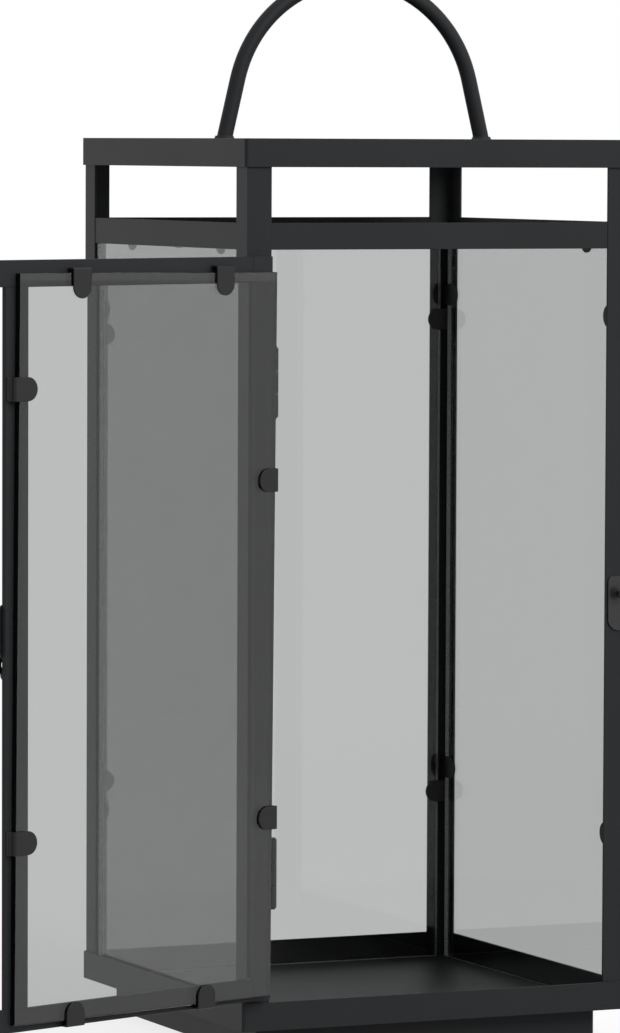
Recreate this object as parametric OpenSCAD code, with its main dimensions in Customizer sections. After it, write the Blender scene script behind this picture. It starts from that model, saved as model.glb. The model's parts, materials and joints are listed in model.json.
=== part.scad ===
// Tall square lantern: an open metal frame with three fixed panes, a glazed door and a hoop handle.
// Millimetres, +Z up, +X to the right, -Y to the front.
// The origin is the centre of the tray's floor, where the candle stands.
// The door is drawn standing open, with its hook hanging free.

/* [Body] */
// Width and depth over the corner posts
body_w = 240; // [200:1:300]
// Height from the underside of the plinth to the top of the cap
body_h = 518; // [440:1:640]
// Thickness of the folded sheet and of the angle
sheet_t = 1.5; // [1:0.1:2]
// Width of each leg of the corner angles
post_w = 15; // [12:0.5:18]

/* [Cap, tray and plinth] */
// Height of the cap's skirt and of the tray's wall
rim_h = 16; // [12:0.5:20]
// Outside corner radius of the cap and the tray
rim_r = 2; // [1:0.1:2.5]
// Height of the plinth below the tray
plinth_h = 18; // [10:0.5:30]
// How far the plinth stands in from the posts
plinth_inset = 13.5; // [8:0.5:30]

/* [Header] */
// Height of the open band below the cap
vent_h = 31; // [20:0.5:50]
// Height of the header rails
header_h = 15; // [12:0.5:20]
// Thickness of the header rails
header_t = 1.2; // [1:0.1:1.4]

/* [Handle] */
// Diameter of the round bar
handle_d = 9; // [7:0.5:11]
// Bend radius on the bar's centre line
handle_r = 76; // [60:1:90]
// Height of the bend's centre above the cap
handle_rise = 16.6; // [10:0.1:30]
// Lean of the straight legs
handle_lean = 13.5; // [8:0.5:16]

/* [Glass] */
// Thickness of the panes
glass_t = 4; // [3:0.1:5]
// Gap between a fixed pane's upright edge and the post beyond it
pane_gap = 8; // [7:0.5:9]
// How far a fixed pane reaches up behind its header rail
pane_lap = 8; // [6:0.5:9]

/* [Clips] */
// Width of the strap that the clips are bent from
clip_w = 13; // [10:0.5:14]
// Thickness of the strap
clip_t = 1.2; // [0.8:0.1:1.4]

/* [Door] */
// Angle at which the door stands open
door_open = 160; // [90:1:164]
// Gap between the closed door's latch stile and the post beyond it
latch_gap = 9.7; // [8.7:0.1:9.7]
// Width of the stiles and of the top rail
door_bar = 14.5; // [13:0.5:15]
// Height of the bottom rail
door_foot = 13; // [13:0.5:15]
// Thickness of the door's flat bars
door_t = 3; // [3:0.1:3.5]
// Gap between the header rail and the door
door_top_gap = 3.5; // [2:0.1:5]
// Gap between the door and the tray's wall
door_foot_gap = 2.8; // [2:0.1:4]
// How far the ends of the door's rails lap the latch post
ear_lap = 6; // [3:0.5:10]
// Lean of the door's pane in its frame
pane_lean = 0.5; // [0:0.05:0.5]

/* [Hinges] */
// Length of each hinge
hinge_h = 38.5; // [34:0.5:44]
// Diameter of the hinge's knuckles
knuckle_d = 5.7; // [5.5:0.1:5.8]
// Diameter of the hinge pin
hinge_pin_d = 3; // [2.5:0.1:3.4]

/* [Latch] */
// Width of the latch plate and of the keeper plate
plate_w = 13.6; // [12:0.1:14]
// Height of both plates
plate_h = 31; // [28:0.5:36]
// Height of the middle of the latch plates above the tray's floor
latch_z = 233; // [200:1:260]
// Height of the stud and of the hook's pivot above the middle of their plates
stud_rise = 5.7; // [0:0.1:8]
// Width of the hook's arm
hook_w = 6.4; // [6:0.1:7]
// Diameter of the keeper's stud
stud_d = 4; // [3:0.1:4.2]

/* [Hidden] */
$fn = 96;
coat = "#2b2c2d";
hardware = "#232425";
glass = [0.72, 0.76, 0.77, 0.4];
fit_gap = 0.05;

half = body_w / 2;
face = half - sheet_t;
opening = half - post_w;
floor_under = -sheet_t;
wall_top = floor_under + rim_h;
cap_top = body_h - plinth_h - sheet_t;
cap_under = cap_top - sheet_t;
header_top = cap_top - rim_h - vent_h;
header_z = header_top - header_h;
pane_top = header_z + pane_lap;
pane_half = half - pane_gap - sheet_t;
// The side panes stand off the middle of their channels, the left one forward and the right one back.
left_pane_shift = pane_gap - 2;
right_pane_shift = 2.5;

leg_foot_x = handle_r * cos(handle_lean)
    + (handle_rise + handle_r * sin(handle_lean)) * tan(handle_lean);
leg_root = 0.5;
handle_screw_d = 4;
handle_screw_depth = 8;
handle_screw_head_d = 8;
handle_screw_head_h = 2.4;

// The hinge axis stands just in front of the latch-side edge of the left post.
hinge_x = -opening;
hinge_y = -half - knuckle_d / 2 - 0.15;
hinge_clear = 0.45;
edge_x = knuckle_d / 2 + hinge_clear;
door_w = 2 * opening - edge_x - latch_gap;
seat_gap = 0.3;
door_in_y = -half - seat_gap - hinge_y;
door_front_y = door_in_y - door_t;
door_z0 = wall_top + door_foot_gap;
door_z1 = header_z - door_top_gap;
door_h = door_z1 - door_z0;
ear_end = opening + ear_lap - hinge_x;
leaf_t = 1;
leaf_w = 12;
hinge_inset = 51;
hinge_zs = [door_z0 + hinge_inset, door_z1 - hinge_inset - hinge_h];

plate_t = 1.2;
plate_r = 3;
rivet_r = 1.25;
stud_z = latch_z + stud_rise;
pivot_inset = 5;
pivot_x = edge_x + door_w - pivot_inset;
keeper_inset = 1.2;
keeper_x = opening + keeper_inset + plate_w / 2;
hook_reach = keeper_x - hinge_x - pivot_x;
hook_t = 1.5;
hook_lift = 1.1;
hook_y = door_front_y - plate_t - hook_lift;
stud_head_y = hinge_y + hook_y - hook_t - 0.4;

// How far the door's pane stands inside the door's outline.
pane_in_hinge = 1.8;
pane_in_latch = 5;
pane_in_foot = 3.4;
pane_in_top = 7.8;
door_pane_w = door_w - pane_in_hinge - pane_in_latch;
door_pane_h = door_h - pane_in_foot - pane_in_top;
door_pane_x = edge_x + pane_in_hinge + door_pane_w / 2;
door_pane_z = door_z0 + pane_in_foot + door_pane_h / 2;

// In each back corner the side pane's clips and the back pane's stand one step apart.
clip_step = clip_w + 2;
left_corner_zs = pane_top * [0.229, 0.894];
right_corner_zs = pane_top * [0.262, 0.91];
clip_over_hinge = 15.3;

// How far the corner clips run along the glass, from the post that they stand on.
corner_reach = 16.4;
side_reach = 20.5;
long_reach = 25;

// A flat rectangle with rounded corners, centred.
module rounded_rect(w, h, r) {
    square([w - 2 * r, h], center = true);
    square([w, h - 2 * r], center = true);
    for (x = [-1, 1], y = [-1, 1])
        translate([x * (w / 2 - r), y * (h / 2 - r)]) circle(r);
}

// A shallow square pan with its floor on z = 0 and its wall standing up.
module pan(depth) {
    difference() {
        linear_extrude(depth) rounded_rect(body_w + 2 * sheet_t, body_w + 2 * sheet_t, rim_r);
        translate([-half, -half, sheet_t]) cube([body_w, body_w, depth]);
    }
}

module cap_screw_places() {
    for (side = [-1, 1]) translate([side * leg_foot_x, 0, 0]) children();
}

module top_cap() {
    color(coat) difference() {
        translate([0, 0, cap_top]) mirror([0, 0, 1]) pan(rim_h);
        cap_screw_places() translate([0, 0, cap_under - 1])
            cylinder(d = handle_screw_d + 2 * fit_gap, h = sheet_t + 2);
    }
}

// One straight leg of the handle. It starts a little inside the bend and runs on past the cap.
module handle_leg(d) {
    rotate([90, 0, 0]) rotate([0, 0, handle_lean]) translate([handle_r, leg_root, 0])
        rotate([90, 0, 0]) cylinder(d = d, h = 60);
}

module handle() {
    leg_d = handle_d + 0.04;
    color(coat) difference() {
        translate([0, 0, cap_top + handle_rise]) {
            rotate([90, 0, 0]) rotate([0, 0, handle_lean])
                rotate_extrude(angle = 180 - 2 * handle_lean)
                    translate([handle_r, 0]) circle(d = handle_d);
            handle_leg(leg_d);
            mirror([1, 0, 0]) handle_leg(leg_d);
        }
        translate([0, 0, cap_top - 50]) cube([body_w, body_w, 100], center = true);
        cap_screw_places() translate([0, 0, cap_top - 1])
            cylinder(d = handle_screw_d + 2 * fit_gap, h = handle_screw_depth + 1.3);
    }
}

// The low weld collars round the feet of the handle.
module handle_collars() {
    collar_h = 1.6;
    color(coat) difference() {
        cap_screw_places() translate([0, 0, cap_top])
            cylinder(d1 = handle_d + 2.8, d2 = handle_d + 1.4, h = collar_h);
        translate([0, 0, cap_top + handle_rise]) {
            handle_leg(handle_d + 2 * fit_gap);
            mirror([1, 0, 0]) handle_leg(handle_d + 2 * fit_gap);
        }
    }
}

module handle_screws() {
    color(hardware) cap_screw_places() {
        translate([0, 0, cap_under - handle_screw_head_h])
            cylinder(d = handle_screw_head_d, h = handle_screw_head_h);
        translate([0, 0, cap_under - 1]) cylinder(d = handle_screw_d, h = handle_screw_depth + sheet_t + 1);
    }
}

// A corner angle, drawn for the front left corner.
module angle_post() {
    difference() {
        translate([-half, -half, 0]) cube([post_w, post_w, cap_under]);
        translate([-face, -face, -1]) cube([post_w, post_w, cap_under + 2]);
    }
}

module post_front_left() {
    color(coat) difference() {
        angle_post();
        frame_rivet_places() rotate([90, 0, 0])
            cylinder(r = rivet_r + fit_gap, h = 4 * sheet_t, center = true);
    }
}

module post_front_right() {
    color(coat) difference() {
        mirror([1, 0, 0]) angle_post();
        translate([keeper_x, -half, stud_z]) rotate([90, 0, 0])
            cylinder(r = rivet_r + fit_gap, h = 4 * sheet_t, center = true);
    }
}

module post_back_left() {
    color(coat) mirror([0, 1, 0]) angle_post();
}

module post_back_right() {
    color(coat) rotate([0, 0, 180]) angle_post();
}

// A header rail, drawn across the front between the flanges of the posts.
module header_rail() {
    color(coat) translate([-opening, -face - header_t, header_z])
        cube([2 * opening, header_t, header_h]);
}

module header_rail_front() {
    header_rail();
}

module header_rail_back() {
    rotate([0, 0, 180]) header_rail();
}

module header_rail_left() {
    rotate([0, 0, -90]) header_rail();
}

module header_rail_right() {
    rotate([0, 0, 90]) header_rail();
}

module base_tray() {
    color(coat) translate([0, 0, floor_under]) pan(rim_h);
}

module plinth() {
    plinth_w = body_w - 2 * plinth_inset;
    color(coat) translate([0, 0, floor_under - plinth_h]) linear_extrude(plinth_h) difference() {
        rounded_rect(plinth_w, plinth_w, rim_r);
        square(plinth_w - 2 * sheet_t, center = true);
    }
}

// A fixed pane, drawn for the left side: it stands on the tray's floor inside the posts.
module fixed_pane() {
    color(glass) translate([-face, -pane_half, 0]) cube([glass_t, 2 * pane_half, pane_top]);
}

module glass_left() {
    translate([0, -left_pane_shift, 0]) fixed_pane();
}

module glass_right() {
    translate([0, right_pane_shift, 0]) mirror([1, 0, 0]) fixed_pane();
}

module glass_back() {
    rotate([0, 0, -90]) fixed_pane();
}

// A strap's round-ended tab, lying on z = 0 and running along +X.
module tab(reach, thick) {
    linear_extrude(thick) {
        translate([0, -clip_w / 2]) square([reach - clip_w / 2, clip_w]);
        translate([reach - clip_w / 2, 0]) circle(d = clip_w);
    }
}

// A strap that stands on a bar at z = 0, steps over a pane's edge at x = 0 and lies on the glass.
module step_clip(foot, stand, reach) {
    tab_z = glass_t + fit_gap;
    translate([-stand - clip_t - foot, -clip_w / 2, 0]) cube([foot + clip_t, clip_w, clip_t]);
    translate([-stand - clip_t, -clip_w / 2, 0]) cube([clip_t, clip_w, tab_z + clip_t]);
    translate([-stand - clip_t, 0, tab_z]) tab(reach + stand + clip_t, clip_t);
}

// A strap bent in a corner: its foot is on the angle beyond the pane, its tab lies along the glass.
module corner_clip(reach) {
    tab_y = glass_t + fit_gap;
    translate([0, seat_gap, -clip_w / 2]) cube([clip_t, tab_y - seat_gap, clip_w]);
    translate([0, tab_y, 0]) rotate([-90, 0, 0]) tab(reach, clip_t);
}

// The clips of one fixed pane, drawn for the left side: two in each corner and two on the top edge.
module side_clips(back_zs, front_zs, top_ys, back_reach, front_reach) {
    strap_foot = 2.5;
    strap_stand = 0.2;
    below_rail = 3.2;
    color(coat) {
        for (z = back_zs) translate([-face, face, z]) rotate([0, 0, -90]) corner_clip(back_reach);
        for (z = front_zs) translate([-face, -face, z]) mirror([1, -1, 0]) corner_clip(front_reach);
        for (y = top_ys) translate([-face, y, pane_top]) rotate([0, 90, 0])
            step_clip(strap_foot, strap_stand, pane_lap + below_rail);
    }
}

module clips_left() {
    over_hinge_zs = [for (z = hinge_zs) z + hinge_h + clip_over_hinge];
    side_clips(left_corner_zs, over_hinge_zs, pane_half * [-0.68, 0.5], long_reach, corner_reach);
}

module clips_right() {
    mirror([1, 0, 0])
        side_clips(right_corner_zs, pane_top * [0.222, 0.894], pane_half * [-0.68, 0.5],
            side_reach, side_reach);
}

module clips_back() {
    rotate([0, 0, -90])
        side_clips(right_corner_zs - [clip_step, clip_step], left_corner_zs + [clip_step, -clip_step],
            pane_half * [-0.54, 0.54], corner_reach, corner_reach);
}

// A rivet along +Y: a low head in front of y = 0, a shank, and a flat tail behind the work.
module rivet(grip, tail) {
    rotate([-90, 0, 0]) {
        translate([0, 0, -0.9]) cylinder(r1 = 1.5, r2 = 2.3, h = 0.9);
        translate([0, 0, -0.5]) cylinder(r = rivet_r, h = grip + tail + 0.5);
        if (tail > 0) translate([0, 0, grip]) cylinder(r = 1.9, h = tail);
    }
}

module hinge_axis() {
    translate([hinge_x, hinge_y, 0]) children();
}

module frame_rivet_places() {
    for (z = hinge_zs, dz = [8, hinge_h - 8])
        translate([hinge_x - 8, -half - leaf_t, z + dz]) children();
}

// Places what is drawn for the closed door, from the hinge axis, where the open door has it.
module on_door() {
    hinge_axis() rotate([0, 0, -door_open]) children();
}

module door_rivet_places() {
    for (z = hinge_zs, dz = [8, hinge_h - 8])
        translate([edge_x + 5.2, door_front_y - leaf_t, z + dz]) children();
}

// Knuckles round the hinge axis: the outer two on the frame's leaf, the middle one on the door's.
module knuckle(z0, h) {
    translate([0, 0, z0]) cylinder(d = knuckle_d, h = h);
}

module pin_bore() {
    translate([0, 0, -1]) cylinder(d = hinge_pin_d + 2 * fit_gap, h = hinge_h + 2);
}

module hinge_leaves_frame() {
    third = hinge_h / 3;
    color(hardware) hinge_axis() for (z = hinge_zs) translate([0, 0, z]) difference() {
        union() {
            translate([-leaf_w, knuckle_d / 2 + 0.15 - leaf_t, 0]) cube([leaf_w, leaf_t, hinge_h]);
            knuckle(0, third - 0.15);
            knuckle(2 * third + 0.15, third - 0.15);
        }
        translate([-knuckle_d / 2 - hinge_clear, 0, third - 0.15])
            cube([knuckle_d, knuckle_d, third + 0.3]);
        pin_bore();
        for (dz = [8, hinge_h - 8]) translate([-8, 0, dz]) rotate([-90, 0, 0])
            cylinder(r = rivet_r + fit_gap, h = knuckle_d);
    }
}

module hinge_leaves_door() {
    third = hinge_h / 3;
    color(hardware) on_door() for (z = hinge_zs) translate([0, 0, z]) difference() {
        union() {
            translate([0, door_front_y - leaf_t, third + 0.15])
                cube([edge_x, leaf_t, third - 0.3]);
            translate([edge_x, door_front_y - leaf_t, 0]) cube([leaf_w - 1.5, leaf_t, hinge_h]);
            knuckle(third + 0.15, third - 0.3);
        }
        pin_bore();
        for (dz = [8, hinge_h - 8]) translate([edge_x + 5.2, 0, dz]) rotate([90, 0, 0])
            cylinder(r = rivet_r + fit_gap, h = knuckle_d);
    }
}

module hinge_pins() {
    color(hardware) hinge_axis() for (z = hinge_zs) translate([0, 0, z]) {
        cylinder(d = hinge_pin_d, h = hinge_h + 0.5);
        translate([0, 0, hinge_h + 0.1]) cylinder(d = 4.4, h = 0.8);
        translate([0, 0, -0.9]) cylinder(d = 4.4, h = 0.8);
        translate([0, 0, -0.5]) cylinder(d = hinge_pin_d, h = 1);
    }
}

module hinge_rivets_frame() {
    color(hardware) frame_rivet_places() rivet(leaf_t + sheet_t, 0.6);
}

module hinge_rivets_door() {
    color(hardware) on_door() door_rivet_places() rivet(leaf_t + door_t, 0);
}

// An upright plate with a square-shouldered top and a round foot, and the hole of its stud or pivot.
module latch_hardware_plate() {
    rotate([90, 0, 0]) linear_extrude(plate_t) difference() {
        union() {
            translate([0, plate_w / 4]) rounded_rect(plate_w, plate_h - plate_w / 2, plate_r);
            translate([0, (plate_w - plate_h) / 2]) circle(d = plate_w);
        }
        translate([0, stud_rise]) circle(rivet_r + fit_gap);
    }
}

module keeper_plate() {
    color(hardware) translate([keeper_x, -half, latch_z]) latch_hardware_plate();
}

// The stud that the hook drops over: a shank with a wider head in front.
module keeper_stud() {
    color(hardware) translate([keeper_x, 0, stud_z]) rotate([90, 0, 0]) {
        translate([0, 0, face - 0.6]) cylinder(r = 1.9, h = 0.6);
        translate([0, 0, face - 0.6]) cylinder(r = rivet_r, h = 4);
        translate([0, 0, half + plate_t]) cylinder(d = stud_d, h = -stud_head_y - half - plate_t + 0.5);
        translate([0, 0, -stud_head_y]) cylinder(d1 = 7, d2 = 5.6, h = 1.2);
    }
}

// A flat bar of the door, given by its ends along the door and its height.
module door_bar_piece(x0, x1, z0, z1) {
    translate([x0, door_front_y, z0]) cube([x1 - x0, door_t, z1 - z0]);
}

module door_hinge_stile() {
    color(coat) on_door() difference() {
        door_bar_piece(edge_x, edge_x + door_bar, door_z0, door_z1);
        door_rivet_places() rotate([90, 0, 0])
            cylinder(r = rivet_r + fit_gap, h = 4 * door_t, center = true);
    }
}

module door_latch_stile() {
    color(coat) on_door() difference() {
        door_bar_piece(edge_x + door_w - door_bar, edge_x + door_w, door_z0 + door_foot, door_z1 - door_bar);
        translate([pivot_x, 0, stud_z]) rotate([90, 0, 0])
            cylinder(r = rivet_r + fit_gap, h = 4 * door_t, center = true);
    }
}

// The rails butt against the hinge stile and run on past the latch stile to rest on the post.
module door_top_rail() {
    color(coat) on_door() door_bar_piece(edge_x + door_bar, ear_end, door_z1 - door_bar, door_z1);
}

module door_bottom_rail() {
    color(coat) on_door() door_bar_piece(edge_x + door_bar, ear_end, door_z0, door_z0 + door_foot);
}

module door_glass() {
    color(glass) on_door() translate([door_pane_x, door_in_y, door_pane_z])
        rotate([0, -pane_lean, 0])
            translate([-door_pane_w / 2, 0, -door_pane_h / 2]) cube([door_pane_w, glass_t, door_pane_h]);
}

module door_clip(x, z, turn, foot, stand, reach) {
    on_door() translate([x, door_in_y, z]) rotate([0, turn, 0]) rotate([-90, 0, 0])
        step_clip(foot, stand, reach);
}

// Two clips on each edge of the door's pane, with slack for the pane's lean.
module door_clips() {
    slack = 1;
    top_z = door_pane_z + door_pane_h / 2 + slack / 2;
    foot_z = door_pane_z - door_pane_h / 2 - slack / 2;
    free_x = door_pane_x + door_pane_w / 2 + slack;
    hinge_side_x = edge_x + pane_in_hinge - 0.8;
    end_stand = 1.6;
    side_stand = 0.2;
    free_foot = 2.3;
    top_reach = 13.8;
    foot_reach = 10.8;
    free_reach = 14.3;
    hinge_reach = 12.8;
    color(coat) {
        for (x = door_w * [0.205, 0.743]) door_clip(edge_x + x, top_z, 90, 0, end_stand, top_reach);
        for (x = door_w * [0.27, 0.764]) door_clip(edge_x + x, foot_z, -90, 0, end_stand, foot_reach);
        for (z = door_h * [0.247, 0.834])
            door_clip(free_x, door_z0 + z, 180, free_foot, side_stand, free_reach);
        for (z = door_h * [0.247, 0.701])
            door_clip(hinge_side_x, door_z0 + z, 0, 0, side_stand, hinge_reach);
    }
}

module latch_plate() {
    color(hardware) on_door() translate([pivot_x, door_front_y, latch_z]) latch_hardware_plate();
}

// The hook's rivet: a shoulder that spaces the hook off its plate, a shank and a round head.
module hook_rivet() {
    color(hardware) on_door() translate([pivot_x, door_front_y, stud_z]) rotate([90, 0, 0]) {
        translate([0, 0, plate_t]) cylinder(d = 5, h = hook_lift - 0.15);
        translate([0, 0, -door_t]) cylinder(r = rivet_r, h = door_t + plate_t + hook_lift + hook_t + 0.4);
        translate([0, 0, plate_t + hook_lift + hook_t + 0.15]) cylinder(d1 = 6, d2 = 4.8, h = 1.1);
    }
}

// The hook's outline, lying along +X with its notch open towards -Y.
module hook_outline() {
    notch_w = stud_d + 2.4;
    tip = hook_reach + 5.6;
    difference() {
        union() {
            circle(d = hook_w + 1);
            translate([0, -hook_w / 2]) square([tip, hook_w]);
            translate([tip, 0]) circle(d = hook_w);
            translate([hook_reach, 1.6]) circle(d = hook_w + 4.4);
        }
        circle(rivet_r + fit_gap);
        translate([hook_reach, 0]) circle(d = notch_w);
        translate([hook_reach - notch_w / 2, -hook_w]) square([notch_w, hook_w]);
    }
}

module latch_hook() {
    color(hardware) on_door() translate([pivot_x, hook_y, stud_z]) rotate([90, 0, 0])
        rotate([0, 0, -90]) linear_extrude(hook_t) hook_outline();
}

top_cap();
handle();
handle_collars();
handle_screws();
post_front_left();
post_front_right();
post_back_left();
post_back_right();
header_rail_front();
header_rail_back();
header_rail_left();
header_rail_right();
base_tray();
plinth();
glass_left();
glass_right();
glass_back();
clips_left();
clips_right();
clips_back();
hinge_leaves_frame();
hinge_pins();
hinge_rivets_frame();
keeper_plate();
keeper_stud();
door_hinge_stile();
door_latch_stile();
door_top_rail();
door_bottom_rail();
door_glass();
door_clips();
hinge_leaves_door();
hinge_rivets_door();
latch_plate();
hook_rivet();
latch_hook();
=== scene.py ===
# %% [markdown]
# # A tall square lantern with its glazed door open
#
# The object is a black metal lantern for a candle: a frame of corner angles, a folded cap and tray,
# three fixed panes, a door on two small hinges, and a hoop handle. Everything that carries, fits or
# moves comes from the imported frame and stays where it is. This script gives those pieces the look of
# real ones: folded and rounded edges, a powder coat, ground glass edges, and soft studio light.

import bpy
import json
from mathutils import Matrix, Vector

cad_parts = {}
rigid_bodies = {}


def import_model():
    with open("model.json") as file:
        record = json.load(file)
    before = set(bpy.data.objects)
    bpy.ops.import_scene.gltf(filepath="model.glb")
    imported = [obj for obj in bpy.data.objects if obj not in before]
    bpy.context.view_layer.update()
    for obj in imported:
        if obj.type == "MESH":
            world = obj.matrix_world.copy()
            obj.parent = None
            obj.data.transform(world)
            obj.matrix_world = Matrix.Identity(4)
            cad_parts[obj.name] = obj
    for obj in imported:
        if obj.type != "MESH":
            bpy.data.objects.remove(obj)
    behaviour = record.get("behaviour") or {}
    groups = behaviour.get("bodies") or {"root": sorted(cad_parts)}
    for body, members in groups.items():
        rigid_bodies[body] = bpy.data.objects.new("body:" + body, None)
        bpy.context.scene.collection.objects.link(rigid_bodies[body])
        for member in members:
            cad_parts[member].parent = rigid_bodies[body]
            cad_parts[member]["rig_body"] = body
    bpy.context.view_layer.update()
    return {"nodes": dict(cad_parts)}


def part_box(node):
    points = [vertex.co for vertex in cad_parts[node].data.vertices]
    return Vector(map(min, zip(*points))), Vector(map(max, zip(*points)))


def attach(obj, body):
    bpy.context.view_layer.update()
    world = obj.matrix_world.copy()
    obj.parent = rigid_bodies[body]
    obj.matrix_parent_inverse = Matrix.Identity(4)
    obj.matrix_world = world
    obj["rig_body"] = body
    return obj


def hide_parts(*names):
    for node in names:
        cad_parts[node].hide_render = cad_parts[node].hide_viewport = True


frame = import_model()

# %% Tools of the trade
import json
import math

import bmesh
import bpy
from mathutils import Matrix, Vector

MM = 0.001


def node_body(node):
    """The moving body that a node of the frame belongs to."""
    return frame["nodes"][node]["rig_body"]


def deselect_all():
    bpy.ops.object.select_all(action="DESELECT")


def make_active(piece):
    deselect_all()
    piece.select_set(True)
    bpy.context.view_layer.objects.active = piece


def apply_modifiers(piece):
    make_active(piece)
    for modifier in list(piece.modifiers):
        bpy.ops.object.modifier_apply(modifier=modifier.name)


# %% [markdown]
# ## Rounding every edge
#
# No edge of a real lantern is a knife edge. Sheared sheet is deburred, rolled bar has a radius, and
# the powder coat runs a little thicker over each corner. That rounding is what catches the light as a
# thin bright line, so it has to be in the shape and can't be painted on. The pieces of the frame come
# in as loose triangles. So a copy of each is welded into one skin, its flat faces are joined again,
# and a bevel modifier rounds the sharp edges to a real radius. Weighted normals then keep the large
# flats flat to the light, so that only the rounding itself shades softly.

# %% A rounded copy of a piece of the frame
ROUND_ANGLE = math.radians(35)
WELD_DISTANCE = 0.002 * MM
FLAT_ANGLE = math.radians(0.5)
STRAP_WIDTH = 13 * MM
STRAP_SHEET = 1.2 * MM


def select_bends(mesh, width, sheet):
    """Selects the edges across a strap of a width, where two of its flats meet and neither is a cut end."""
    skin = bmesh.from_edit_mesh(mesh)
    for edge in skin.edges:
        across = abs(edge.calc_length() - width) < 0.01 * MM
        flats = all(face.calc_area() / width > 1.3 * sheet for face in edge.link_faces)
        edge.select_set(across and flats and edge.calc_face_angle(0) > ROUND_ANGLE)
    bmesh.update_edit_mesh(mesh)
    return sum(edge.select for edge in skin.edges)


def finish_piece(node, name, radius, segments=2, smooth_angle=50, bend=0):
    """Welds a copy of a node, rounds its sharp edges by radius millimetres, and lets it stand for the node."""
    piece = frame["nodes"][node].copy()
    piece.data = frame["nodes"][node].data.copy()
    piece.name = name
    piece.data.name = name
    for key in list(piece.keys()):
        del piece[key]
    piece.parent = None
    piece.hide_render = False
    bpy.context.scene.collection.objects.link(piece)
    make_active(piece)
    bpy.ops.object.mode_set(mode="EDIT")
    bpy.ops.mesh.select_all(action="SELECT")
    bpy.ops.mesh.remove_doubles(threshold=WELD_DISTANCE)
    bpy.ops.mesh.dissolve_limited(angle_limit=FLAT_ANGLE)
    if bend:
        bpy.ops.mesh.select_mode(type="EDGE")
        bpy.ops.mesh.select_all(action="DESELECT")
        print(name, "bends:", select_bends(piece.data, STRAP_WIDTH, STRAP_SHEET))
        bpy.ops.mesh.bevel(offset=bend * MM, segments=4, affect="EDGES")
    bpy.ops.object.mode_set(mode="OBJECT")
    if radius:
        bevel = piece.modifiers.new("edges", "BEVEL")
        bevel.width = radius * MM
        bevel.segments = segments
        bevel.limit_method = "ANGLE"
        bevel.angle_limit = ROUND_ANGLE
        bevel.use_clamp_overlap = True
        apply_modifiers(piece)
    bpy.ops.object.shade_smooth_by_angle(angle=math.radians(smooth_angle))
    if radius:
        flats = piece.modifiers.new("flat_shading", "WEIGHTED_NORMAL")
        flats.weight = 100
        flats.keep_sharp = True
        apply_modifiers(piece)
    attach(piece, node_body(node))
    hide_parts(node)
    return piece


# %% [markdown]
# ## Colours and shader nodes
#
# Colours are noted as the hex values that a person would pick on a screen. Blender calculates in
# linear light, so one function converts them. A second small function adds a shader node with its
# settings and its links, which keeps each material short enough to read.

# %% Colour and node helpers


def linear(hex_colour):
    """An sRGB hex colour as linear red, green, blue and alpha."""
    values = [int(hex_colour[i:i + 2], 16) / 255 for i in (1, 3, 5)]
    return [v / 12.92 if v <= 0.04045 else ((v + 0.055) / 1.055) ** 2.4 for v in values] + [1.0]


def add_node(tree, kind, settings=None, inputs=None):
    """Adds a node, sets its properties, and sets or links its inputs."""
    node = tree.nodes.new(kind)
    for key, value in (settings or {}).items():
        setattr(node, key, value)
    for key, value in (inputs or {}).items():
        if isinstance(value, bpy.types.NodeSocket):
            tree.links.new(value, node.inputs[key])
        else:
            node.inputs[key].default_value = value
    return node


def new_material(name):
    """An empty node material with its output node."""
    material = bpy.data.materials.new(name)
    material.use_nodes = True
    material.node_tree.nodes.clear()
    output = add_node(material.node_tree, "ShaderNodeOutputMaterial")
    return material, material.node_tree, output


# %% [markdown]
# ## Matte black powder coat
#
# Frame, tray, cap and door are steel with a baked powder coat. Powder melts into a skin with a fine
# orange peel, so a highlight on it is broad and slightly broken and never mirror sharp. A matting agent
# takes away most of the shine at the surface, which a lower specular level stands for: the white studio
# would otherwise bleach the faces that are seen at a slant. The dark grey of the powder does the rest.

# %% Powder coat
PEEL_SIZE_MM = 0.9
FILM_SIZE_MM = 45


def powder_coat():
    material, tree, output = new_material("matte_black_powder_coat")
    place = add_node(tree, "ShaderNodeTexCoord")
    film = add_node(tree, "ShaderNodeTexNoise", {},
                    {"Vector": place.outputs["Object"], "Scale": 1 / (FILM_SIZE_MM * MM), "Detail": 4.0})
    roughness = add_node(tree, "ShaderNodeMapRange", {},
                         {"Value": film.outputs["Fac"], "From Min": 0.3, "From Max": 0.7,
                          "To Min": 0.43, "To Max": 0.455})
    tone = add_node(tree, "ShaderNodeMixRGB", {},
                    {"Fac": film.outputs["Fac"], "Color1": linear("#292a2b"), "Color2": linear("#2d2e30")})
    peel = add_node(tree, "ShaderNodeTexNoise", {},
                    {"Vector": place.outputs["Object"], "Scale": 1 / (PEEL_SIZE_MM * MM), "Detail": 2.0})
    bump = add_node(tree, "ShaderNodeBump", {},
                    {"Strength": 0.10, "Distance": 0.05 * MM, "Height": peel.outputs["Fac"]})
    surface = add_node(tree, "ShaderNodeBsdfPrincipled", {},
                       {"Base Color": tone.outputs["Color"], "Roughness": roughness.outputs["Result"],
                        "IOR": 1.5, "Specular IOR Level": 0.1, "Normal": bump.outputs["Normal"]})
    tree.links.new(surface.outputs["BSDF"], output.inputs["Surface"])
    return material


coat = powder_coat()
print("finish:", coat.name)

# %% [markdown]
# ## Straps darkened by painted shade
#
# The clips are cut and bent from strap. Their base colour is a darker copy of the frame's black: painted shade,
# so that they read as the darkest metal next to the glass. A fine mottle varies their tone, roughness and bump.

# %% Strap finish with painted shade
MOTTLE_SIZE_MM = 0.6


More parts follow.
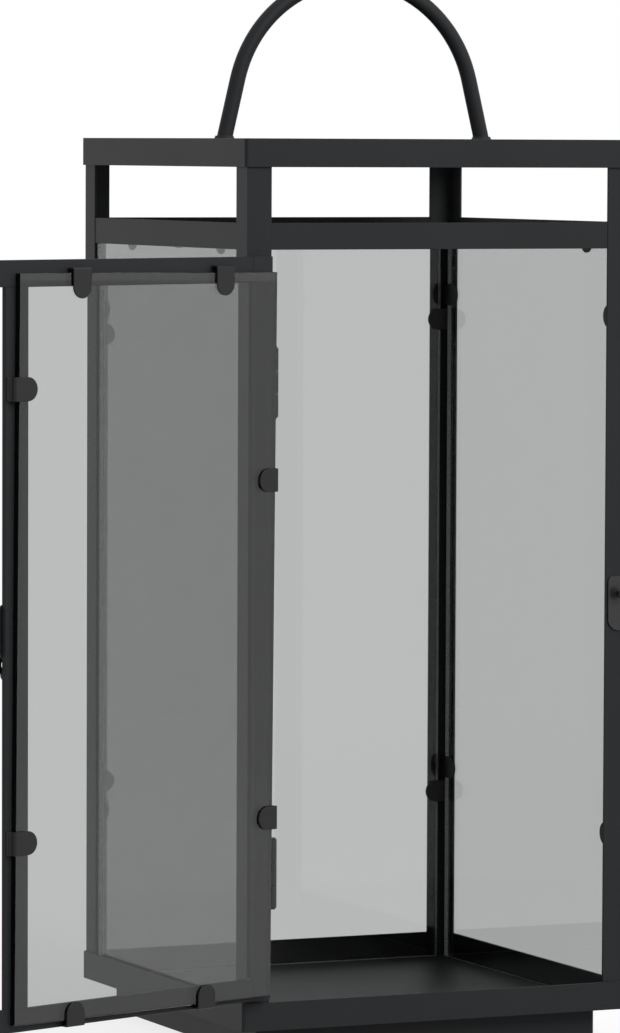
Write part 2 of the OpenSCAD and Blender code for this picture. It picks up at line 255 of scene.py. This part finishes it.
def strap_with_painted_shade():
    material, tree, output = new_material("strap_steel_painted_shade")
    place = add_node(tree, "ShaderNodeTexCoord")
    mottle = add_node(tree, "ShaderNodeTexNoise", {},
                     {"Vector": place.outputs["Object"], "Scale": 1 / (MOTTLE_SIZE_MM * MM), "Detail": 3.0})
    roughness = add_node(tree, "ShaderNodeMapRange", {},
                         {"Value": mottle.outputs["Fac"], "From Min": 0.35, "From Max": 0.65,
                          "To Min": 0.46, "To Max": 0.56})
    # Both base colours are darker than the powder coat: painted shade. The mottle only picks between them at
    # random.
    tone = add_node(tree, "ShaderNodeMixRGB", {},
                    {"Fac": mottle.outputs["Fac"], "Color1": linear("#0e0e0f"), "Color2": linear("#141415")})
    bump = add_node(tree, "ShaderNodeBump", {},
                    {"Strength": 0.12, "Distance": 0.05 * MM, "Height": mottle.outputs["Fac"]})
    surface = add_node(tree, "ShaderNodeBsdfPrincipled", {},
                       {"Base Color": tone.outputs["Color"], "Roughness": roughness.outputs["Result"],
                        "IOR": 1.5, "Specular IOR Level": 0.3, "Normal": bump.outputs["Normal"]})
    tree.links.new(surface.outputs["BSDF"], output.inputs["Surface"])
    return material


strap = strap_with_painted_shade()
print("finish:", strap.name)

# %% [markdown]
# ## Black lacquered hardware
#
# Hinges, latch and rivets are bought parts. They were dipped in a thinner black lacquer that levels
# out better than powder, so they shine a little more, and the bare steel under it adds fine scratches
# from handling. The scratches only change the roughness.

# %% Hardware lacquer
SCRATCH_SIZE_MM = 0.5


def hardware_lacquer():
    material, tree, output = new_material("satin_black_lacquered_steel")
    place = add_node(tree, "ShaderNodeTexCoord")
    stretch = add_node(tree, "ShaderNodeMapping", {}, {"Vector": place.outputs["Object"], "Scale": (1, 1, 0.15)})
    scratches = add_node(tree, "ShaderNodeTexNoise", {},
                         {"Vector": stretch.outputs["Vector"], "Scale": 1 / (SCRATCH_SIZE_MM * MM), "Detail": 3.0})
    roughness = add_node(tree, "ShaderNodeMapRange", {},
                         {"Value": scratches.outputs["Fac"], "From Min": 0.35, "From Max": 0.65,
                          "To Min": 0.28, "To Max": 0.40})
    bump = add_node(tree, "ShaderNodeBump", {},
                    {"Strength": 0.06, "Distance": 0.05 * MM, "Height": scratches.outputs["Fac"]})
    surface = add_node(tree, "ShaderNodeBsdfPrincipled", {},
                       {"Base Color": linear("#101112"), "Roughness": roughness.outputs["Result"],
                        "IOR": 1.5, "Normal": bump.outputs["Normal"]})
    tree.links.new(surface.outputs["BSDF"], output.inputs["Surface"])
    return material


lacquer = hardware_lacquer()
print("finish:", lacquer.name)

# %% [markdown]
# ## Float glass with ground edges
#
# The panes are cut from float glass about 4 mm thick. It is smooth on both faces and slightly tinted:
# the light that crosses it loses a share for every millimetre of glass on its way, so a pane that is
# seen at a slant looks darker. That loss belongs to the volume and not to the surface. The cut edges
# were only ground, so they scatter the light and look pale and speckled. A ray must leave a pane
# through the same material that it came in by, or the loss never ends. So there is one material, and
# a mask that each pane carries on its faces says where it is ground. The pale rim beside the back edge
# of a side pane is a finish of its own, with no loss in it: its whiteness is a painted glow for the light that
# comes in by the ground edge.

# %% Glass
PANE_MM = 4.0
SHARE_THROUGH = 0.54
POLISH_WAVES_PER_METRE = 9.0
GRIT_SIZE_MM = 1.1
GROUND_MASK = "ground"


def float_glass():
    material, tree, output = new_material("tinted_float_glass")
    place = add_node(tree, "ShaderNodeTexCoord")
    ground = add_node(tree, "ShaderNodeAttribute", {"attribute_name": GROUND_MASK}).outputs["Fac"]
    film = add_node(tree, "ShaderNodeTexNoise", {},
                    {"Vector": place.outputs["Object"], "Scale": POLISH_WAVES_PER_METRE, "Detail": 3.0})
    polished = add_node(tree, "ShaderNodeMapRange", {},
                        {"Value": film.outputs["Fac"], "From Min": 0.4, "From Max": 0.7,
                         "To Min": 0.0, "To Max": 0.02})
    grit = add_node(tree, "ShaderNodeTexNoise", {},
                    {"Vector": place.outputs["Object"], "Scale": 1 / (GRIT_SIZE_MM * MM), "Detail": 3.0})
    chips = add_node(tree, "ShaderNodeMapRange", {},
                     {"Value": grit.outputs["Fac"], "From Min": 0.42, "From Max": 0.62,
                      "To Min": 0.25, "To Max": 0.75})
    roughness = add_node(tree, "ShaderNodeMapRange", {},
                         {"Value": ground, "To Min": polished.outputs[0], "To Max": chips.outputs[0]})
    clearness = add_node(tree, "ShaderNodeMapRange", {}, {"Value": ground, "To Min": 1.0, "To Max": 0.35})
    depth = add_node(tree, "ShaderNodeMath", {"operation": "MULTIPLY"}, {0: ground, 1: 0.6})
    bump = add_node(tree, "ShaderNodeBump", {},
                    {"Strength": depth.outputs[0], "Distance": 0.3 * MM, "Height": grit.outputs["Fac"]})
    surface = add_node(tree, "ShaderNodeBsdfPrincipled", {},
                       {"Base Color": linear("#fafdfc"), "Roughness": roughness.outputs["Result"], "IOR": 1.5,
                        "Transmission Weight": clearness.outputs["Result"], "Normal": bump.outputs["Normal"]})
    density = -math.log(SHARE_THROUGH) / (PANE_MM * MM)
    body = add_node(tree, "ShaderNodeVolumeAbsorption", {},
                    {"Color": (0.0, 0.0, 0.0, 1.0), "Density": density})
    tree.links.new(surface.outputs["BSDF"], output.inputs["Surface"])
    tree.links.new(body.outputs["Volume"], output.inputs["Volume"])
    return material


def rim_with_painted_glow():
    """A white, matt band full of chips beside a side pane's back edge: the chips are ground glass, the whiteness
    is painted glow.
    """
    material, tree, output = new_material("glass_rim_painted_glow")
    place = add_node(tree, "ShaderNodeTexCoord")
    grit = add_node(tree, "ShaderNodeTexNoise", {},
                    {"Vector": place.outputs["Object"], "Scale": 1 / (GRIT_SIZE_MM * MM), "Detail": 4.0})
    chips = add_node(tree, "ShaderNodeMapRange", {},
                     {"Value": grit.outputs["Fac"], "From Min": 0.42, "From Max": 0.6})
    # Pale chips on near white: the whiteness is painted glow for the light that comes in by the ground edge.
    tone = add_node(tree, "ShaderNodeMixRGB", {},
                    {"Fac": chips.outputs[0], "Color1": linear("#a3a9a9"), "Color2": linear("#fbfdfd")})
    bump = add_node(tree, "ShaderNodeBump", {},
                    {"Strength": 0.5, "Distance": 0.1 * MM, "Height": grit.outputs["Fac"]})
    surface = add_node(tree, "ShaderNodeBsdfPrincipled", {},
                       {"Base Color": tone.outputs["Color"], "Roughness": 0.6, "IOR": 1.5,
                        "Transmission Weight": 0.5, "Normal": bump.outputs["Normal"]})
    tree.links.new(surface.outputs["BSDF"], output.inputs["Surface"])
    return material


glass = float_glass()
rim_glow_paint = rim_with_painted_glow()
print("finish:", glass.name, rim_glow_paint.name)

# %% [markdown]
# ## The sheet metal, angles and bars
#
# Cap and tray are folded pans, the posts are rolled angle and the door is flat bar. Folded sheet has
# a radius of about its own thickness on the outside of each fold. Sheared and sawn edges are only
# deburred, so they get a few tenths of a millimetre.

# %% Finish the painted pieces


def paint(piece, material):
    piece.data.materials.clear()
    piece.data.materials.append(material)
    for polygon in piece.data.polygons:
        polygon.material_index = 0


COATED = {
    "top_cap": 0.6, "base_tray": 0.6, "plinth": 0.4,
    "post_front_left": 0.35, "post_front_right": 0.35, "post_back_left": 0.35, "post_back_right": 0.35,
    "header_rail_front": 0.3, "header_rail_back": 0.3, "header_rail_left": 0.3, "header_rail_right": 0.3,
    "door_hinge_stile": 0.4, "door_latch_stile": 0.4, "door_top_rail": 0.4, "door_bottom_rail": 0.4,
    "clips_left": 0.35, "clips_right": 0.35, "clips_back": 0.35, "door_clips": 0.35,
    "handle": 0.2, "handle_collars": 0.3,
}
BEND_MM = 1.1
for node, radius in COATED.items():
    is_strap = "clips" in node
    piece = finish_piece(node, node + "_coated", radius, bend=BEND_MM if is_strap else 0)
    # The clips take the strap material, whose darker colour is painted shade.
    paint(piece, strap if is_strap else coat)
    print(f"{piece.name}: {len(piece.data.polygons)} faces, edges rounded by {radius} mm")

# %% Finish the hardware
HARDWARE = {
    "handle_screws": 0.2, "hinge_leaves_frame": 0.15, "hinge_leaves_door": 0.15, "hinge_pins": 0.15,
    "hinge_rivets_frame": 0.15, "hinge_rivets_door": 0.15, "latch_plate": 0.25, "keeper_plate": 0.25,
    "keeper_stud": 0.2, "hook_rivet": 0.2, "latch_hook": 0.3,
}
for node, radius in HARDWARE.items():
    piece = finish_piece(node, node + "_lacquered", radius)
    paint(piece, lacquer)
    print(f"{piece.name}: {len(piece.data.polygons)} faces, edges rounded by {radius} mm")

# %% [markdown]
# ## The panes
#
# Each pane is a plain slab. The arris between face and edge is taken off with a stone, which leaves a
# chamfer of about a quarter of a millimetre. The fixed panes have ground sides, and the door's pane
# has polished ones. A pane never quite touches the metal that it leans on, so every skin is drawn in
# by a few hundredths of a millimetre, which also keeps the two surfaces from flickering.

# %% Finish the panes
ARRIS_MM = 0.25
PANE_CLEARANCE_MM = 0.04


def finish_pane(node, sides_ground):
    pane = finish_piece(node, node + "_pane", 0, smooth_angle=5)
    make_active(pane)
    bpy.ops.object.mode_set(mode="EDIT")
    bpy.ops.mesh.select_all(action="SELECT")
    bpy.ops.transform.shrink_fatten(value=-PANE_CLEARANCE_MM * MM)
    bpy.ops.mesh.bevel(offset=ARRIS_MM * MM, segments=1, affect="EDGES")
    bpy.ops.object.mode_set(mode="OBJECT")
    paint(pane, glass)
    mask = pane.data.attributes.new(GROUND_MASK, "FLOAT", "FACE")
    largest = max(polygon.area for polygon in pane.data.polygons)
    for polygon in pane.data.polygons:
        mask.data[polygon.index].value = 1.0 if sides_ground and polygon.area < largest / 2 else 0.0
    return pane


for node in ("glass_left", "glass_right", "glass_back", "door_glass"):
    pane = finish_pane(node, node != "door_glass")
    print(f"{pane.name}: {len(pane.data.polygons)} faces")

# %% [markdown]
# ## Ground rims with painted glow
#
# Next to its back edge each side pane shows a bright line, where light from behind comes in by the ground
# edge. A pale band painted there stands in for that glow: painted light. It could be a part of the pane's own
# material, but then the loss inside the glass would darken it. So it is a thin skin of its own: a copy of the
# pane, cut off where the band begins and let out by half of the clearance.

# %% Ground rims of the side panes, with painted glow
RIM_MM = 5.5
RIM_LIFT_MM = 0.5 * PANE_CLEARANCE_MM


def add_glow_rim(node):
    """A skin over the last millimetres before a side pane's back edge, cut from a copy of the pane, that carries
    the painted glow.
    """
    pane = bpy.data.objects[node + "_pane"]
    make_active(pane)
    bpy.ops.object.duplicate()
    rim = bpy.context.object
    rim.name = node + "_rim"
    rim.data.name = rim.name
    bpy.ops.object.mode_set(mode="EDIT")
    bpy.ops.mesh.select_all(action="SELECT")
    rim_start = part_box(node)[1].y - RIM_MM * MM
    bpy.ops.mesh.bisect(plane_co=(0, rim_start, 0), plane_no=(0, 1, 0), clear_inner=True)
    bpy.ops.mesh.select_all(action="SELECT")
    bpy.ops.transform.shrink_fatten(value=RIM_LIFT_MM * MM)
    bpy.ops.object.mode_set(mode="OBJECT")
    paint(rim, rim_glow_paint)
    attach(rim, node_body(node))
    return rim


rims = [add_glow_rim(node) for node in ("glass_left", "glass_right")]
print("rims:", [(rim.name, len(rim.data.polygons)) for rim in rims])

# %% [markdown]
# ## The studio
#
# The lantern stands in a white studio, and everything sees it white: the camera, the metal in its
# reflections, and the glass both in what it reflects and in what shows through it. The Light Path
# node tells those rays from the ones that only light the lantern. These find a plain dome of about
# half the strength, so the white backdrop doesn't bleach the lantern.

# %% Backdrop
WHITE = 1.0
DOME = 0.5


def mix_values(tree, factor, low, high):
    """A value between low and high."""
    return add_node(tree, "ShaderNodeMapRange", {}, {"Value": factor, "To Min": low, "To Max": high}).outputs[0]


def shows_backdrop(tree):
    """One for a ray from the camera, for a reflection and for a ray that went on through glass."""
    ray = add_node(tree, "ShaderNodeLightPath")
    shown = add_node(tree, "ShaderNodeMath", {"operation": "MAXIMUM"},
                     {0: ray.outputs["Is Camera Ray"], 1: ray.outputs["Is Glossy Ray"]})
    return add_node(tree, "ShaderNodeMath", {"operation": "MAXIMUM"},
                    {0: shown.outputs[0], 1: ray.outputs["Is Transmission Ray"]}).outputs[0]


def set_world():
    world = bpy.data.worlds.new("studio_dome")
    bpy.context.scene.world = world
    world.use_nodes = True
    tree = world.node_tree
    tree.nodes.clear()
    strength = mix_values(tree, shows_backdrop(tree), DOME, WHITE)
    background = add_node(tree, "ShaderNodeBackground", {}, {"Color": (1, 1, 1, 1), "Strength": strength})
    output = add_node(tree, "ShaderNodeOutputWorld")
    tree.links.new(background.outputs["Background"], output.inputs["Surface"])
    world.cycles.sampling_method = "NONE"


set_world()
print("backdrop: white for the eye, in reflections and through glass")

# %% [markdown]
# ## The floor
#
# A white sweep has no edge: the floor runs into the backdrop. Near the lantern the floor glows for
# the eye and adds a thin diffuse share, which keeps the lantern's shadow. Further out the diffuse
# share fades away, so that no horizon shows through the panes. It is gone before the line behind the
# key softbox where that lamp's light stops. Reflections and glass show the same white floor.

# %% Floor
FLOOR_RADIUS = 14
FLOOR_DIFFUSE = 0.30
FLOOR_GLOW = 0.78
FLOOR_GRAIN = 0.01
SHADOW_RADIUS = 0.7
WHITE_RADIUS = 2.0
FLOOR_GAP = 0.0002


def floor_paint():
    material, tree, output = new_material("white_studio_floor")
    place = add_node(tree, "ShaderNodeTexCoord")
    away = add_node(tree, "ShaderNodeVectorMath", {"operation": "LENGTH"}, {0: place.outputs["Object"]})
    far = add_node(tree, "ShaderNodeMapRange", {"interpolation_type": "SMOOTHSTEP"},
                   {"Value": away.outputs["Value"], "From Min": SHADOW_RADIUS, "From Max": WHITE_RADIUS})
    lit = mix_values(tree, far.outputs[0], FLOOR_GLOW, WHITE)
    glow = mix_values(tree, shows_backdrop(tree), 0.0, lit)
    emission = add_node(tree, "ShaderNodeEmission", {}, {"Color": (1, 1, 1, 1), "Strength": glow})
    grain = add_node(tree, "ShaderNodeTexNoise", {}, {"Scale": 3.0})
    near = mix_values(tree, grain.outputs["Fac"], FLOOR_DIFFUSE - FLOOR_GRAIN, FLOOR_DIFFUSE + FLOOR_GRAIN)
    tone = mix_values(tree, far.outputs[0], near, 0.0)
    diffuse = add_node(tree, "ShaderNodeBsdfDiffuse", {}, {"Color": tone})
    both = add_node(tree, "ShaderNodeAddShader", {}, {0: emission.outputs[0], 1: diffuse.outputs[0]})
    tree.links.new(both.outputs[0], output.inputs["Surface"])
    material.cycles.emission_sampling = "NONE"
    return material


floor_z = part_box("plinth")[0].z - FLOOR_GAP
deselect_all()
bpy.ops.mesh.primitive_circle_add(vertices=96, radius=FLOOR_RADIUS, fill_type="NGON", location=(0, 0, floor_z))
floor = bpy.context.object
floor.name = "studio_floor"
floor.data.materials.append(floor_paint())
print(f"floor at {floor_z:.4f} m")

# %% [markdown]
# ## Lamps
#
# Three large softboxes give the form a little modelling: a key in front, a weaker fill on the right
# and one above. They light every object alike.

# %% Lamps
LAMP_TARGET = (0, 0, 0.25)


def soft_lamp(name, place, width, height, power):
    light = bpy.data.lights.new(name, "AREA")
    light.shape = "RECTANGLE"
    light.size = width
    light.size_y = height
    light.energy = power
    lamp = bpy.data.objects.new(name, light)
    lamp.location = place
    lamp.rotation_euler = (Vector(LAMP_TARGET) - Vector(place)).to_track_quat("-Z", "Y").to_euler()
    lamp.visible_camera = False
    lamp.visible_transmission = False
    bpy.context.scene.collection.objects.link(lamp)


soft_lamp("key_softbox", (0.9, -2.2, 1.7), 1.4, 1.4, 42)
soft_lamp("fill_softbox", (2.3, -1.6, 1.2), 1.4, 1.8, 3)
soft_lamp("top_softbox", (0.2, 0.3, 2.6), 1.6, 1.6, 4)

# %% [markdown]
# ## The camera
#
# The photograph was taken from the front left, a little above the middle, from a few metres away with
# a long lens. The view was worked out from the body's corners: turned by 24 degrees, pitched down by
# 3.6 degrees and rolled by a quarter of a degree.

# %% Camera
PHOTO_LONG_SIDE = 1033
FOCAL_PIXELS = 5998
SENSOR_MM = 36
YAW = math.radians(24.14)
PITCH = math.radians(3.56)
ROLL = math.radians(0.23)
cap_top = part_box("top_cap")[1].z
camera_place = Vector((-1.4525, -3.1805, cap_top - 0.0027))

forward = Vector((math.sin(YAW) * math.cos(PITCH), math.cos(YAW) * math.cos(PITCH), -math.sin(PITCH)))
level = Vector((math.cos(YAW), -math.sin(YAW), 0))
upright = level.cross(forward)
right = math.cos(ROLL) * level + math.sin(ROLL) * upright
up = -math.sin(ROLL) * level + math.cos(ROLL) * upright

lens = bpy.data.cameras.new("photo_camera")
lens.sensor_width = SENSOR_MM
lens.lens = FOCAL_PIXELS / PHOTO_LONG_SIDE * SENSOR_MM
camera = bpy.data.objects.new("photo_camera", lens)
camera.matrix_world = Matrix.Translation(camera_place) @ Matrix((right, up, -forward)).transposed().to_4x4()
bpy.context.scene.collection.objects.link(camera)
bpy.context.scene.camera = camera
bpy.context.scene.view_settings.view_transform = "Standard"
print(f"lens {lens.lens:.1f} mm at {tuple(round(v, 3) for v in camera_place)}")

# %% [markdown]
#
# Last, the scene is brought up to date.

# %% Update the scene
bpy.context.view_layer.update()
